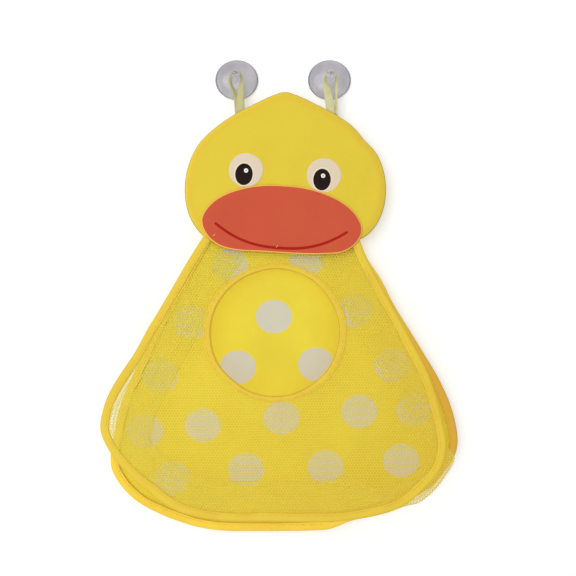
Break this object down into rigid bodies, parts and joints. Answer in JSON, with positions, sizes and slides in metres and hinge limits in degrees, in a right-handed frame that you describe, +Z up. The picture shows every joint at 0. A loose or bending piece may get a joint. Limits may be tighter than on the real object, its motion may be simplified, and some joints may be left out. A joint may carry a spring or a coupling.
{
  "type": "bath toy organizer",
  "caption": "Duck-shaped mesh bag that hangs by two ribbon loops on suction cups and stores bath toys through a round front opening.",
  "frame": {"origin": "on the wall plane, midway between the centres of the two suction cups", "axes": "+Z up, +Y into the wall, +X to the right of someone who faces the duck"},
  "size_m": [0.2976, 0.0365, 0.4035],
  "materials": {
    "clear_vinyl": "clear soft vinyl, glossy",
    "ribbon": "thin satin ribbon",
    "yellow_cloth": "woven polyester, matt",
    "foam": "soft foam",
    "beak_cloth": "woven polyester, matt",
    "mouth_ink": "stitched line",
    "eye_cloth": "woven polyester, matt",
    "pupil_cloth": "woven polyester, matt",
    "yellow_tape": "folded binding tape",
    "yellow_net": "knitted hexagonal net"
  },
  "bodies": {
    "wall_cups": {"left_suction_cup": "clear_vinyl", "right_suction_cup": "clear_vinyl"},
    "hanging_loops": {"left_hanging_loop": "ribbon", "right_hanging_loop": "ribbon"},
    "bag": {"head_back_panel": "yellow_cloth", "head_foam": "foam", "head_front_panel": "yellow_cloth", "beak_patch": "beak_cloth", "mouth_line": "mouth_ink", "left_eye_patch": "eye_cloth", "right_eye_patch": "eye_cloth", "left_pupil": "pupil_cloth", "right_pupil": "pupil_cloth", "left_eye_glint": "eye_cloth", "right_eye_glint": "eye_cloth", "back_panel": "yellow_cloth", "back_edge_binding": "yellow_tape", "gusset_net": "yellow_net"},
    "bag_front": {"front_net_panel": "yellow_net", "front_edge_binding": "yellow_tape", "opening_binding": "yellow_tape"}
  },
  "joints": [
    {"name": "loops_swing", "type": "hinge", "parent": "wall_cups", "child": "hanging_loops", "pos_m": [0, -0.0095, 0.0038], "axis": [-1, 0, 0], "range_deg": [0, 75]},
    {"name": "bag_tilt", "type": "hinge", "parent": "hanging_loops", "child": "bag", "pos_m": [0, -0.0115, -0.026], "axis": [-1, 0, 0], "range_deg": [0, 25]},
    {"name": "front_fold", "type": "hinge", "parent": "bag", "child": "bag_front", "pos_m": [0, -0.0131, -0.137], "axis": [1, 0, 0], "range_deg": [0, 5.5], "stiffness_Nm_per_rad": 0.3, "deforming": ["gusset_net"]}
  ]
}
